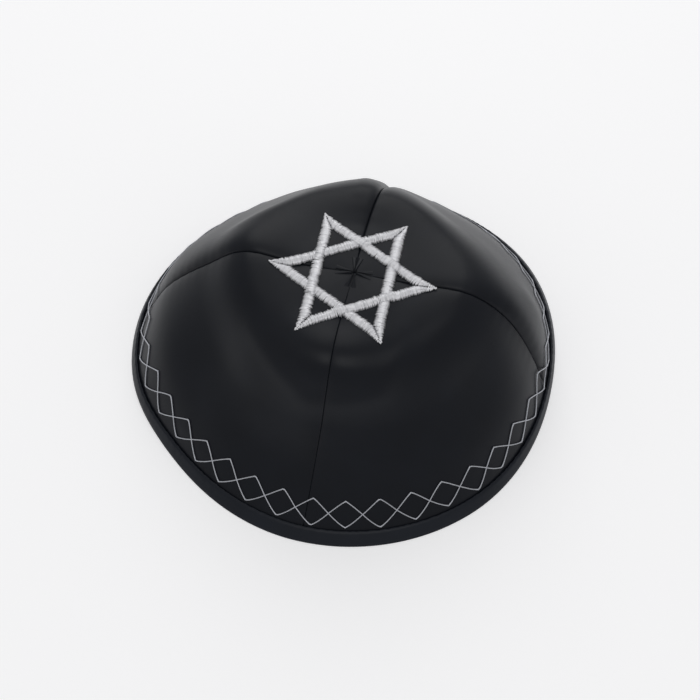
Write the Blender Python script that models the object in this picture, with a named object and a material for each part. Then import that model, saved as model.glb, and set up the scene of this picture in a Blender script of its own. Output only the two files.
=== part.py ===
"""Embroidered kippah: four satin panels, a bound rim and a raised six-pointed star on the crown.

Metres, +Z up. The cap rests crown up on its rim, as it lies by itself. The origin is on the floor
under the middle of the rim's box, +X runs along the right seam and -Y along the front seam.
"""

import math
from collections import namedtuple
from functools import lru_cache

import bmesh
import bpy
from mathutils import Matrix, Vector

MM = 0.001

# Cap as a whole
RIM_RADIUS = 85.0 * MM
CAP_HEIGHT = 58.0 * MM
CROWN_SHIFT_X = 3.4 * MM
CROWN_SHIFT_Y = -1.4 * MM

# Cloth
WALL = 1.2 * MM
CLEARANCE = 0.3 * MM
SEAM_GAP = 0.3 * MM

# Seams: how deep the cloth tucks into a seam, and how far a panel puffs up beside it
TUCK_DEPTH = 0.9 * MM
TUCK_REACH = 2.2 * MM
PUFF_HEIGHT = 1.6 * MM
PUFF_REACH = 6.5 * MM

# Dents and folds of the resting cloth
DENT_DEPTH = 3.0 * MM

# Rim binding
BINDING_WALL = 1.0 * MM
BINDING_HEIGHT = 4.2 * MM
BINDING_INSIDE_HEIGHT = 3.8 * MM
BINDING_END_AZIMUTH = 211.5
BINDING_END_LENGTH = 2.6 * MM
BINDING_END_WIDTH = 3.0 * MM

# Star on the crown: its shift is from the point where the seams meet
STAR_RADIUS = 32.0 * MM
STAR_BAND = 4.3 * MM
STAR_THICKNESS = 1.0 * MM
STAR_TURN = 1.5
STAR_SHIFT_X = -0.4 * MM
STAR_SHIFT_Y = -1.8 * MM
STAR_SHEET_SHARE = 1.2

# Mesh density
PANEL_COLUMNS = 22
PANEL_ROWS = 21
COLUMN_CROWDING = 0.7
BINDING_SEGMENTS = 96
STAR_CELL = 5.0 * MM
SHARP_DEGREES = 40
WELD_DISTANCE = 0.01 * MM
CUT_TOLERANCE = 0.001 * MM

# Steps of the searches on the surface: halvings, and how far apart its slopes are read
HALVINGS = 20
PROBE_PLACE = 0.04
PROBE_DEGREES = 1.0

# One profile of the cap from crown to rim for each azimuth in degrees. Columns named out are
# shares of RIM_RADIUS, and columns named up are shares of CAP_HEIGHT.
Section = namedtuple(
    "Section",
    "azimuth crown_up shoulder_out shoulder_up upper_out upper_up lower_out lower_up rim_out",
)
CROWN_OUT = 0.25
SECTIONS = [
    Section(0, 1.00, 0.52, 1.00, 0.72, 0.80, 0.86, 0.44, 0.96),
    Section(45, 0.99, 0.49, 0.94, 0.66, 0.71, 0.86, 0.33, 1.005),
    Section(90, 0.99, 0.49, 0.96, 0.68, 0.67, 0.84, 0.33, 0.96),
    Section(135, 0.99, 0.49, 0.94, 0.67, 0.67, 0.85, 0.31, 0.965),
    Section(180, 1.00, 0.49, 1.02, 0.68, 0.77, 0.86, 0.45, 0.995),
    Section(225, 1.00, 0.47, 0.93, 0.66, 0.58, 0.83, 0.28, 0.955),
    Section(270, 1.00, 0.49, 0.97, 0.66, 0.60, 0.83, 0.28, 1.005),
    Section(315, 1.00, 0.49, 0.93, 0.68, 0.58, 0.86, 0.28, 1.01),
]
STATIONS = 6
LAST_PLACE = STATIONS - 1.0

# The four seams. Azimuths and sways are degrees. The puffs are shares of PUFF_HEIGHT on the side
# before the seam and after it, going counterclockwise from above, strongest at puff_place.
Seam = namedtuple("Seam", "azimuth shoulder_sway rim_sway before_puff after_puff puff_place")
SEAMS = [
    Seam(0, 0.0, 0.0, -0.9, 1.3, 3.4),
    Seam(90, -3.0, -3.0, 0.3, 1.1, 2.6),
    Seam(180, 0.0, 0.0, 0.8, -0.3, 2.6),
    Seam(270, 2.0, 1.0, 0.3, 0.3, 2.4),
]
PUFF_SPREAD = 1.1
SWAY_SHARES = [0.0, 0.3, 1.0, 1.0, 0.7, 0.5]

# Dents and folds: azimuth and spread in degrees, place and reach in stations from the crown,
# depth as a share of DENT_DEPTH, negative inwards.
Dent = namedtuple("Dent", "azimuth spread place reach depth")
DENTS = [
    Dent(258, 17, 3.7, 0.7, -0.8),
    Dent(336, 13, 3.3, 0.8, -0.7),
    Dent(214, 15, 3.0, 0.8, -0.6),
    Dent(205, 16, 4.8, 0.9, 0.5),
    Dent(14, 7, 3.8, 0.5, 0.4),
    Dent(60, 16, 3.0, 0.8, -0.3),
    Dent(150, 14, 3.2, 0.8, -0.4),
]

# Panels, each from one seam counterclockwise to the next
PANELS = ["panel_back_right", "panel_back_left", "panel_front_left", "panel_front_right"]

# Finishes: linear colour, roughness, metallic
SATIN = ("dark_satin", (0.0125, 0.0145, 0.0200, 1.0), 0.42, 0.0)
BINDING_SATIN = ("binding_satin", (0.0160, 0.0185, 0.0240, 1.0), 0.50, 0.0)
SILVER_THREAD = ("silver_thread", (0.60, 0.61, 0.63, 1.0), 0.38, 0.65)


def curve_value(before, first, second, after, share):
    """Smooth curve through first and second, at share of the way from one to the other."""
    linear = (second - before) * share
    square = (2 * before - 5 * first + 4 * second - after) * share**2
    cube = (3 * first - before - 3 * second + after) * share**3
    return 0.5 * (2 * first + linear + square + cube)


def round_value(values, turn):
    """Value at turn, 0 to 1, of a smooth closed curve through evenly spaced values."""
    place = (turn % 1.0) * len(values)
    index = math.floor(place)
    before, first, second, after = (values[(index + k) % len(values)] for k in (-1, 0, 1, 2))
    return curve_value(before, first, second, after, place - index)


def open_value(values, place):
    """Value at place, 0 to the last index, of a smooth curve whose first value is mirrored."""
    index = min(max(math.floor(place), 0), len(values) - 2)
    mirrored = -values[1] if values[0] == 0 else values[1]
    extended = [mirrored, *values, 2 * values[-1] - values[-2]]
    return curve_value(*extended[index : index + 4], place - index)


@lru_cache(maxsize=None)
def profile(azimuth):
    """Distances out and heights of the profile's stations at this azimuth in degrees."""
    turn = azimuth / 360
    row = {
        name: round_value([getattr(section, name) for section in SECTIONS], turn)
        for name in Section._fields[1:]
    }
    outs = [0, CROWN_OUT, row["shoulder_out"], row["upper_out"], row["lower_out"], row["rim_out"]]
    ups = [1, row["crown_up"], row["shoulder_up"], row["upper_up"], row["lower_up"], 0]
    return [out * RIM_RADIUS for out in outs], [up * CAP_HEIGHT for up in ups]


def plain_point(azimuth, place):
    """Point of the cap's outside without its seams, dents and folds."""
    outs, ups = profile(azimuth)
    out = open_value(outs, place)
    left = 1 - place / LAST_PLACE
    angle = math.radians(azimuth)
    return Vector(
        (
            CROWN_SHIFT_X * left + out * math.cos(angle),
            CROWN_SHIFT_Y * left + out * math.sin(angle),
            open_value(ups, place),
        )
    )


def plain_normal(azimuth, place):
    """Outward direction of the plain outside."""
    place = min(max(place, PROBE_PLACE), LAST_PLACE - PROBE_PLACE)
    lower = plain_point(azimuth, place + PROBE_PLACE)
    upper = plain_point(azimuth, place - PROBE_PLACE)
    after = plain_point(azimuth + PROBE_DEGREES, place)
    before = plain_point(azimuth - PROBE_DEGREES, place)
    if place == PROBE_PLACE:
        return Vector((0, 0, 1))
    return (lower - upper).cross(after - before).normalized()


def seam_azimuth(seam, place):
    """Azimuth in degrees of a seam at this place of the profile."""
    sway = open_value(SWAY_SHARES, place) * seam.shoulder_sway
    rim_share = max(place - 2, 0) / (LAST_PLACE - 2)
    return seam.azimuth + sway * (1 - rim_share) + seam.rim_sway * rim_share


def bell(distance, reach):
    """1 at no distance, falling smoothly to nothing past reach."""
    return math.exp(-((distance / reach) ** 2))


def turn_between(azimuth, other):
    """Signed turn in degrees from other to azimuth, -180 to 180."""
    return (azimuth - other + 180) % 360 - 180


def rim_fade(height):
    """1 over the panels, falling to 0 where the binding holds the cloth flat."""
    return min(max((height - BINDING_HEIGHT - WALL) / BINDING_HEIGHT, 0), 1)


def dent_lift(azimuth, place):
    """Height of the dents and folds over the plain outside."""
    lift = 0.0
    for dent in DENTS:
        across = bell(turn_between(azimuth, dent.azimuth), dent.spread)
        lift += dent.depth * DENT_DEPTH * across * bell(place - dent.place, dent.reach)
    return lift


def seam_distance(seam, azimuth, place):
    """Signed distance along the cloth from a seam, or None on the far side of the cap."""
    turn = turn_between(azimuth, seam_azimuth(seam, place))
    if abs(turn) > 90:
        return None
    return open_value(profile(azimuth)[0], place) * math.radians(turn)


def puff_lift(azimuth, place):
    """Height of the puffs beside the seams over the plain outside."""
    lift = 0.0
    for seam in SEAMS:
        distance = seam_distance(seam, azimuth, place)
        if distance is None:
            continue
        puff = seam.after_puff if distance > 0 else seam.before_puff
        share = abs(distance) / PUFF_REACH
        rise = share * math.exp(1 - share)
        lift += puff * PUFF_HEIGHT * rise * bell(place - seam.puff_place, PUFF_SPREAD)
    return lift * rim_fade(plain_point(azimuth, place).z)


def tuck_lift(azimuth, place):
    """Depth of the tucks at the seams, negative inwards."""
    distances = [seam_distance(seam, azimuth, place) for seam in SEAMS]
    nearest = min(abs(distance) for distance in distances if distance is not None)
    fade = rim_fade(plain_point(azimuth, place).z)
    return -TUCK_DEPTH * math.exp(-nearest / TUCK_REACH) * fade


def cloth_point(azimuth, place, lift=0.0):
    """Point of the cap's outside with its dents, folds and puffs, raised by lift."""
    lift += dent_lift(azimuth, place) + puff_lift(azimuth, place)
    return plain_point(azimuth, place) + plain_normal(azimuth, place) * lift


@lru_cache(maxsize=None)
def place_at_height(azimuth, height):
    """Place on the outer wall where the cloth is this high."""
    low, high = LAST_PLACE / 2, LAST_PLACE
    for _ in range(HALVINGS):
        middle = (low + high) / 2
        if cloth_point(azimuth, middle).z > height:
            low = middle
        else:
            high = middle
    return (low + high) / 2


def place_over(point):
    """Azimuth and place of the cloth straight above or below a point of the crown."""
    low, high = 0.0, LAST_PLACE
    azimuth = 0.0
    for _ in range(HALVINGS):
        middle = (low + high) / 2
        left = 1 - middle / LAST_PLACE
        x = point.x - CROWN_SHIFT_X * left
        y = point.y - CROWN_SHIFT_Y * left
        azimuth = math.degrees(math.atan2(y, x))
        if open_value(profile(azimuth)[0], middle) < math.hypot(x, y):
            low = middle
        else:
            high = middle
    return azimuth, (low + high) / 2


def spread_columns(count):
    """Shares 0 to 1 across a panel, closer together beside its two seams."""
    even = [index / count for index in range(count + 1)]
    return [
        share + COLUMN_CROWDING * ((1 - math.cos(math.pi * share)) / 2 - share) for share in even
    ]


def material(finish):
    """Principled material of a finish."""
    name, colour, roughness, metallic = finish
    made = bpy.data.materials.new(name)
    made.use_nodes = True
    shader = made.node_tree.nodes["Principled BSDF"]
    shader.inputs["Base Color"].default_value = colour
    shader.inputs["Roughness"].default_value = roughness
    shader.inputs["Metallic"].default_value = metallic
    return made


def add_object(name, mesh_data, finish):
    """Scene object that holds the mesh, shaded smooth up to its real edges."""
    mesh = bpy.data.meshes.new(name)
    mesh_data.to_mesh(mesh)
    mesh_data.free()
    mesh.shade_smooth()
    mesh.set_sharp_from_angle(angle=math.radians(SHARP_DEGREES))
    mesh.materials.append(material(finish))
    made = bpy.data.objects.new(name, mesh)
    bpy.context.scene.collection.objects.link(made)
    return made


def build_panel(name, seam, next_seam):
    """One gore of cloth between two seams, from the crown to just inside the binding."""
    grid = bmesh.new()
    bmesh.ops.create_grid(grid, x_segments=PANEL_COLUMNS, y_segments=PANEL_ROWS, size=0.5)
    full_turn = 360 if next_seam.azimuth < seam.azimuth else 0
    columns = spread_columns(PANEL_COLUMNS)
    rim_start = seam_azimuth(seam, LAST_PLACE)
    rim_end = seam_azimuth(next_seam, LAST_PLACE) + full_turn
    edge_height = BINDING_WALL + CLEARANCE + WALL
    lowest = [
        place_at_height(rim_start + share * (rim_end - rim_start), edge_height)
        for share in columns
    ]
    tip_radius = SEAM_GAP / math.sqrt(2)
    for vert in grid.verts:
        column = round((vert.co.x + 0.5) * PANEL_COLUMNS)
        row = round((vert.co.y + 0.5) * PANEL_ROWS)
        place = lowest[column] * row / PANEL_ROWS
        start = seam_azimuth(seam, place)
        end = seam_azimuth(next_seam, place) + full_turn
        if row == 0:
            middle = math.radians((start + end) / 2)
            tip = tip_radius * Vector((math.cos(middle), math.sin(middle), 0))
            vert.co = cloth_point(start, 0, tuck_lift(start, 0)) + tip
            continue
        radius = open_value(profile((start + end) / 2)[0], place)
        inset = math.degrees(math.asin(min(SEAM_GAP / 2 / radius, 0.7)))
        azimuth = start + inset + columns[column] * (end - start - 2 * inset)
        vert.co = cloth_point(azimuth, place, tuck_lift(azimuth, place))
    bmesh.ops.remove_doubles(grid, verts=grid.verts, dist=WELD_DISTANCE)
    face_up(grid)
    panel = add_object(name, grid, SATIN)
    add_wall(panel, WALL)
    return panel


def face_up(flat):
    """Turns all faces of a sheet the same way, outwards from the cap."""
    bmesh.ops.recalc_face_normals(flat, faces=flat.faces)
    if sum(face.normal.z for face in flat.faces) < 0:
        bmesh.ops.reverse_faces(flat, faces=flat.faces)


def add_wall(sheet, thickness):
    """Gives a sheet its thickness, inwards from its outside."""
    wall = sheet.modifiers.new("wall", "SOLIDIFY")
    wall.thickness = thickness
    wall.offset = -1


def binding_point(azimuth, height, offset):
    """Point at this height, offset square to the wall from the cloth's outside."""
    place = place_at_height(azimuth, height)
    point = cloth_point(azimuth, place)
    normal = plain_normal(azimuth, place)
    level = Vector((normal.x, normal.y, 0))
    return Vector((point.x, point.y, height)) + level.normalized() * offset / level.length


def binding_section():
    """Heights and offsets of the folded strip: outer leg, flat foot and inner leg."""
    outer_slot = CLEARANCE
    outer_face = outer_slot + BINDING_WALL
    inner_slot = -(WALL + CLEARANCE)
    inner_face = inner_slot - BINDING_WALL
    return [
        (0.0, outer_face),
        (BINDING_HEIGHT / 2, outer_face),
        (BINDING_HEIGHT, outer_face),
        (BINDING_HEIGHT, outer_slot),
        (BINDING_HEIGHT / 2, outer_slot),
        (BINDING_WALL, outer_slot),
        (BINDING_WALL, inner_slot),
        (BINDING_INSIDE_HEIGHT, inner_slot),
        (BINDING_INSIDE_HEIGHT, inner_face),
        (0.0, inner_face),
    ]


def build_binding():
    """The binding: a ring turned from its section, then fitted to the wall all round."""
    ring = bmesh.new()
    section = [
        ring.verts.new((RIM_RADIUS + offset, 0, height)) for height, offset in binding_section()
    ]
    sides = [ring.edges.new((section[index - 1], section[index])) for index in range(len(section))]
    bmesh.ops.spin(
        ring,
        geom=section + sides,
        cent=(0, 0, 0),
        axis=(0, 0, 1),
        angle=math.tau,
        steps=BINDING_SEGMENTS,
        use_merge=True,
    )
    first_turn = math.radians(BINDING_END_AZIMUTH) + math.pi / BINDING_SEGMENTS
    turning = Matrix.Rotation(first_turn, 3, "Z")
    bmesh.ops.rotate(ring, verts=ring.verts, cent=(0, 0, 0), matrix=turning)
    for vert in ring.verts:
        azimuth = round(math.degrees(math.atan2(vert.co.y, vert.co.x)), 4)
        offset = math.hypot(vert.co.x, vert.co.y) - RIM_RADIUS
        vert.co = binding_point(azimuth, vert.co.z, offset)
    bmesh.ops.recalc_face_normals(ring, faces=ring.faces)
    grow_loose_end(ring)
    return add_object("rim_binding", ring, BINDING_SATIN)


def grow_loose_end(ring):
    """Draws the strip's small loose end out of the binding's outer face, just above the floor."""
    outer_face = CLEARANCE + BINDING_WALL
    root = binding_point(BINDING_END_AZIMUTH, BINDING_HEIGHT / 4, outer_face)
    rooted = min(ring.faces, key=lambda face: (face.calc_center_median() - root).length)
    outward = Vector((rooted.normal.x, rooted.normal.y, 0)).normalized()
    along = outward.cross(Vector((0, 0, 1)))
    grown = bmesh.ops.extrude_face_region(ring, geom=[rooted])
    bmesh.ops.delete(ring, geom=[rooted], context="FACES_ONLY")
    tip = [item for item in grown["geom"] if isinstance(item, bmesh.types.BMVert)]
    middle = sum((vert.co for vert in tip), Vector()) / len(tip)
    width = 2 * max((vert.co - middle).dot(along) for vert in tip)
    for vert in tip:
        sideways = (vert.co - middle).dot(along)
        vert.co -= along * sideways * (1 - BINDING_END_WIDTH / width)
        vert.co += outward * BINDING_END_LENGTH


def band_edges():
    """Direction and distance from the star's middle of each band's outer and inner edge."""
    outer = STAR_RADIUS / 2
    for index in range(6):
        angle = math.radians(STAR_TURN + 60 * index)
        yield Vector((math.cos(angle), math.sin(angle), 0)), outer, outer - STAR_BAND


def in_triangle(point, edges, distance):
    """Whether a point lies within all three edges at this distance from the middle."""
    return all(point.dot(direction) < distance for direction in edges)


def in_band(point):
    """Whether a point of the star's plane lies on one of its two triangular frames."""
    directions = [direction for direction, _, _ in band_edges()]
    outer = STAR_RADIUS / 2
    for triangle in (directions[0::2], directions[1::2]):
        inside_outer = in_triangle(point, triangle, outer)
        if inside_outer and not in_triangle(point, triangle, outer - STAR_BAND):
            return True
    return False


def cut(flat, direction, distance):
    """Cuts every face of a flat mesh along a straight line of its plane."""
    geometry = flat.verts[:] + flat.edges[:] + flat.faces[:]
    bmesh.ops.bisect_plane(
        flat, geom=geometry, dist=CUT_TOLERANCE, plane_co=direction * distance, plane_no=direction
    )


def build_star():
    """The embroidered star as one raised solid that follows the crown."""
    flat = bmesh.new()
    sheet_radius = STAR_RADIUS * STAR_SHEET_SHARE
    bmesh.ops.create_circle(flat, cap_ends=True, segments=6, radius=sheet_radius)
    for direction, outer, inner in band_edges():
        cut(flat, direction, outer)
        cut(flat, direction, inner)
    spare = [face for face in flat.faces if not in_band(face.calc_center_median())]
    bmesh.ops.delete(flat, geom=spare, context="FACES")
    cells = math.ceil(STAR_RADIUS / STAR_CELL)
    for index in range(-cells + 1, cells):
        for turn in (STAR_TURN, STAR_TURN + 90):
            angle = math.radians(turn)
            direction = Vector((math.cos(angle), math.sin(angle), 0))
            cut(flat, direction, index * STAR_RADIUS / cells)
    bmesh.ops.triangulate(flat, faces=flat.faces)
    face_up(flat)
    centre = Vector((CROWN_SHIFT_X + STAR_SHIFT_X, CROWN_SHIFT_Y + STAR_SHIFT_Y, 0))
    for vert in flat.verts:
        azimuth, place = place_over(vert.co + centre)
        vert.co = cloth_point(azimuth, place, CLEARANCE + STAR_THICKNESS)
    star = add_object("star_embroidery", flat, SILVER_THREAD)
    add_wall(star, STAR_THICKNESS)
    return star


def centre_on_origin(objects, footprint):
    """Moves every mesh so that the middle of the footprint's box is over the origin."""
    lows = [min(vert.co[axis] for vert in footprint.data.vertices) for axis in (0, 1)]
    highs = [max(vert.co[axis] for vert in footprint.data.vertices) for axis in (0, 1)]
    shift = Vector((-(lows[0] + highs[0]) / 2, -(lows[1] + highs[1]) / 2, 0))
    for item in objects:
        item.data.transform(Matrix.Translation(shift))


def main():
    """Builds the whole cap."""
    for item in list(bpy.data.objects):
        bpy.data.objects.remove(item, do_unlink=True)
    pieces = [
        build_panel(name, SEAMS[index], SEAMS[(index + 1) % len(SEAMS)])
        for index, name in enumerate(PANELS)
    ]
    binding = build_binding()
    pieces.append(binding)
    pieces.append(build_star())
    centre_on_origin(pieces, binding)


main()
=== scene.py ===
"""Looks of the embroidered kippah: satin gores, bound rim, satin-stitched star and threaded border.

Metres, +Z up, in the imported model's frame. Every piece is laid over one surface, the outside of the
resting cap, which CapShape works out from the same sections, seams and dents as the solids.
"""

import logging
import math
from dataclasses import dataclass, field
from enum import Enum
from typing import Any

import bmesh
import bpy
import numpy as np
from mathutils import Matrix, Vector


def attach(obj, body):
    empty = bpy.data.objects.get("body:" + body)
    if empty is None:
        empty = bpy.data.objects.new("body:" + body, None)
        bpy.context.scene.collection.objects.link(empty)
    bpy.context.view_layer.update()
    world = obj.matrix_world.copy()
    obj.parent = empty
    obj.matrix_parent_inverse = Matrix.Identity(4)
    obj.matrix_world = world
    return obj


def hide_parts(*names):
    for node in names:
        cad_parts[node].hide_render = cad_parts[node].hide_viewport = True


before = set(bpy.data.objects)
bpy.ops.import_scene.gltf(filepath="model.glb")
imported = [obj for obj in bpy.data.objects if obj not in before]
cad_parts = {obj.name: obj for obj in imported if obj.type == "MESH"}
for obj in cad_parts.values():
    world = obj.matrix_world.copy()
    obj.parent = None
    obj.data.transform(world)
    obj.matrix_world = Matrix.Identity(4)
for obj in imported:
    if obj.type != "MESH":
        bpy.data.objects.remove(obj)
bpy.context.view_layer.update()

LOG = logging.getLogger("kippah")
MM = 0.001
SHADER = "Principled BSDF"
BODY = "root"
CLOTH_UV = "cloth_millimetres"
SHADE = "stitch_shade"

Array = np.ndarray


class Slot(Enum):
    """Names of the record's material slots; the pieces here don't take their finishes from them."""

    SATIN = "dark_satin"
    BINDING = "binding_satin"
    SILVER = "silver_thread"


@dataclass(frozen=True)
class Section:
    """One profile of the cap: outs are shares of the rim radius, ups are shares of the height."""

    azimuth: float
    crown_up: float
    shoulder_out: float
    shoulder_up: float
    upper_out: float
    upper_up: float
    lower_out: float
    lower_up: float
    rim_out: float


@dataclass(frozen=True)
class Seam:
    """One seam: degrees round the cap, and shares of its puffs on both sides and of its crease."""

    azimuth: float
    shoulder_sway: float
    rim_sway: float
    before_puff: float
    after_puff: float
    puff_place: float
    crease: float


@dataclass(frozen=True)
class Dent:
    """One broad dent or swelling: degrees and stations, and its share of the dent depth."""

    azimuth: float
    spread: float
    place: float
    reach: float
    depth: float


@dataclass(frozen=True)
class Fold:
    """One soft ridge, or groove where height is below 0, between two places of the cloth.

    Azimuths are degrees, places are stations from the crown, and width and height are metres.
    """

    start_azimuth: float
    start_place: float
    end_azimuth: float
    end_place: float
    width: float
    height: float


SECTIONS = (
    Section(0, 1.00, 0.52, 1.00, 0.72, 0.80, 0.86, 0.44, 0.96),
    Section(45, 0.99, 0.49, 0.94, 0.66, 0.71, 0.86, 0.33, 1.005),
    Section(90, 0.99, 0.49, 0.96, 0.68, 0.67, 0.84, 0.33, 0.96),
    Section(135, 0.99, 0.49, 0.94, 0.67, 0.67, 0.85, 0.31, 0.965),
    Section(180, 1.00, 0.49, 1.02, 0.68, 0.77, 0.86, 0.45, 0.995),
    Section(225, 1.00, 0.47, 0.93, 0.66, 0.58, 0.83, 0.28, 0.955),
    Section(270, 1.00, 0.49, 0.97, 0.66, 0.60, 0.83, 0.28, 1.005),
    Section(315, 1.00, 0.49, 0.93, 0.68, 0.58, 0.86, 0.28, 1.01),
)
SEAMS = (
    Seam(0, 0.0, 0.0, -0.9, 1.3, 3.4, 1.0),
    Seam(90, -3.0, -3.0, 0.3, 1.1, 2.6, 0.8),
    Seam(180, 0.0, 0.0, 0.8, -0.3, 2.6, 0.9),
    Seam(270, 2.0, 1.0, 0.3, 0.3, 2.4, 0.3),
)
DENTS = (
    Dent(258, 17, 3.7, 0.7, -0.8),
    Dent(336, 13, 3.3, 0.8, -0.7),
    Dent(214, 15, 3.0, 0.8, -0.6),
    Dent(205, 16, 4.8, 0.9, 0.5),
    Dent(14, 7, 3.8, 0.5, 0.4),
    Dent(60, 16, 3.0, 0.8, -0.3),
    Dent(150, 14, 3.2, 0.8, -0.4),
)
FOLDS = (
    Fold(120, 2.1, 160, 2.4, 5.0 * MM, 0.8 * MM),
    Fold(98, 1.8, 95, 3.0, 2.2 * MM, 0.5 * MM),
    Fold(222, 2.2, 262, 2.6, 4.0 * MM, 0.5 * MM),
    Fold(262, 2.7, 296, 2.5, 4.0 * MM, 0.5 * MM),
    Fold(296, 2.4, 318, 1.6, 4.5 * MM, 0.5 * MM),
)


def curve_value(before: Array, first: Array, second: Array, after: Array, share: Array) -> Array:
    """Follows a smooth curve through two values.

    Args:
        before: value before the first.
        first: value at share 0.
        second: value at share 1.
        after: value after the second.
        share: how far along, 0 to 1.

    Returns:
        The curve's values at the shares.
    """
    linear_part = (second - before) * share
    square_part = (2 * before - 5 * first + 4 * second - after) * share**2
    cube_part = (3 * first - before - 3 * second + after) * share**3
    return 0.5 * (2 * first + linear_part + square_part + cube_part)


def open_value(values: Array, place: Array) -> Array:
    """Follows a smooth curve from the crown, where its first value is mirrored.

    Args:
        values: stations along the last axis.
        place: place of each value wanted, 0 to the last station.

    Returns:
        The values at the places.
    """
    first, last = values[..., :1], values[..., -1:]
    mirrored = np.where(first == 0, -values[..., 1:2], values[..., 1:2])
    extended = np.concatenate([mirrored, values, 2 * last - values[..., -2:-1]], axis=-1)
    index = np.clip(np.floor(place).astype(int), 0, values.shape[-1] - 2)
    picked = np.take_along_axis(extended, index[..., None] + np.arange(4), axis=-1)
    return curve_value(*np.moveaxis(picked, -1, 0), place - index)


def bell(distance: Array, reach: float) -> Array:
    """Falls smoothly from 1 at no distance to nothing past the reach."""
    return np.exp(-((distance / reach) ** 2))


def turn_between(azimuth: Array, other: Array) -> Array:
    """Gives the signed turn in degrees from other to azimuth, -180 to 180."""
    return (azimuth - other + 180) % 360 - 180


def unit(vectors: Array) -> Array:
    """Gives vectors of length 1 in the same directions."""
    return vectors / np.linalg.norm(vectors, axis=-1, keepdims=True)


@dataclass
class CapShape:
    """Outside of the resting cap, as points for azimuths in degrees and places from the crown."""

    rim_radius: float = 85.0 * MM
    height: float = 58.0 * MM
    crown_x: float = 3.4 * MM
    crown_y: float = -1.4 * MM
    crown_out: float = 0.25
    puff_height: float = 1.6 * MM
    puff_reach: float = 6.5 * MM
    puff_spread: float = 1.1
    dent_depth: float = 3.0 * MM
    flat_height: float = 5.4 * MM
    fade_height: float = 4.2 * MM
    wall_place: float = 2.0
    last_place: float = 5.0
    probe_place: float = 0.04
    probe_degrees: float = 1.0
    centre_x: float = 1.5763 * MM
    centre_y: float = 2.0304 * MM
    fold_start: float = 0.15
    fold_span: float = 0.7
    ripple_height: float = 0.035 * MM
    ripple_count: int = 9
    ripple_seed: int = 7
    ripple_lengths: tuple[float, float] = (18.0 * MM, 45.0 * MM)
    sway_shares: tuple[float, ...] = (0.0, 0.3, 1.0, 1.0, 0.7, 0.5)
    halvings: int = 24

    def profile(self, azimuth: Array) -> tuple[Array, Array]:
        """Works out the profile at each azimuth.

        Args:
            azimuth: degrees round the cap.

        Returns:
            Distances out and heights of the six stations, along a last axis.
        """
        names = list(Section.__dataclass_fields__)[1:]
        table = np.array([[getattr(row, name) for name in names] for row in SECTIONS])
        turn = (azimuth / 360 % 1.0) * len(SECTIONS)
        index = np.floor(turn).astype(int)
        rows = [table[(index + step) % len(SECTIONS)] for step in (-1, 0, 1, 2)]
        found = curve_value(*rows, (turn - index)[..., None])
        crown_up, shoulder_out, shoulder_up, upper_out, upper_up, lower_out, lower_up, rim_out = (
            np.moveaxis(found, -1, 0)
        )
        nothing = np.zeros_like(rim_out)
        crown_out = np.full_like(rim_out, self.crown_out)
        outs = [nothing, crown_out, shoulder_out, upper_out, lower_out, rim_out]
        ups = [nothing + 1, crown_up, shoulder_up, upper_up, lower_up, nothing]
        return np.stack(outs, -1) * self.rim_radius, np.stack(ups, -1) * self.height

    def radius(self, azimuth: Array, place: Array) -> Array:
        """Gives the distance out from the middle of the profile's ring."""
        return open_value(self.profile(azimuth)[0], place)

    def plain_point(self, azimuth: Array, place: Array) -> Array:
        """Works out points of the outside without seams, dents and folds.

        Args:
            azimuth: degrees round the cap.
            place: places from the crown, 0 to 5.

        Returns:
            Points, with their coordinates along a last axis.
        """
        azimuth, place = np.broadcast_arrays(np.asarray(azimuth, float), np.asarray(place, float))
        outs, ups = self.profile(azimuth)
        out = open_value(outs, place)
        left = 1 - place / self.last_place
        angle = np.radians(azimuth)
        across = self.centre_x + self.crown_x * left + out * np.cos(angle)
        along = self.centre_y + self.crown_y * left + out * np.sin(angle)
        return np.stack([across, along, open_value(ups, place)], -1)

    def plain_normal(self, azimuth: Array, place: Array) -> Array:
        """Works out the outward directions of the plain outside.

        Args:
            azimuth: degrees round the cap.
            place: places from the crown.

        Returns:
            Directions of length 1.
        """
        azimuth, place = np.broadcast_arrays(np.asarray(azimuth, float), np.asarray(place, float))
        held = np.clip(place, self.probe_place, self.last_place - self.probe_place)
        lower = self.plain_point(azimuth, held + self.probe_place)
        upper = self.plain_point(azimuth, held - self.probe_place)
        after = self.plain_point(azimuth + self.probe_degrees, held)
        before = self.plain_point(azimuth - self.probe_degrees, held)
        across = np.cross(lower - upper, after - before)
        across[held <= self.probe_place] = (0, 0, 1)
        return unit(across)

    def seam_azimuth(self, seam: Seam, place: Array) -> Array:
        """Gives a seam's azimuth in degrees at each place."""
        place = np.asarray(place, float)
        shares = np.broadcast_to(np.array(self.sway_shares), (*place.shape, len(self.sway_shares)))
        sway = open_value(shares, place) * seam.shoulder_sway
        rim_share = np.maximum(place - self.wall_place, 0) / (self.last_place - self.wall_place)
        return seam.azimuth + sway * (1 - rim_share) + seam.rim_sway * rim_share

    def seam_distance(self, seam: Seam, azimuth: Array, place: Array) -> Array:
        """Gives the signed distance along the cloth from a seam."""
        turn = turn_between(azimuth, self.seam_azimuth(seam, place))
        return self.radius(azimuth, place) * np.radians(turn)

    def nearest_seam(self, azimuth: Array, place: Array) -> tuple[Array, Array]:
        """Finds the nearest seam.

        Args:
            azimuth: degrees round the cap.
            place: places from the crown.

        Returns:
            Distances along the cloth from that seam, and its crease.
        """
        distances = np.array([abs(self.seam_distance(seam, azimuth, place)) for seam in SEAMS])
        creases = np.array([seam.crease for seam in SEAMS])
        return distances.min(axis=0), creases[distances.argmin(axis=0)]

    def rim_fade(self, points: Array) -> Array:
        """Gives 1 over the gores, falling to 0 where the binding holds the cloth flat."""
        return np.clip((points[..., 2] - self.flat_height) / self.fade_height, 0, 1)

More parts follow.
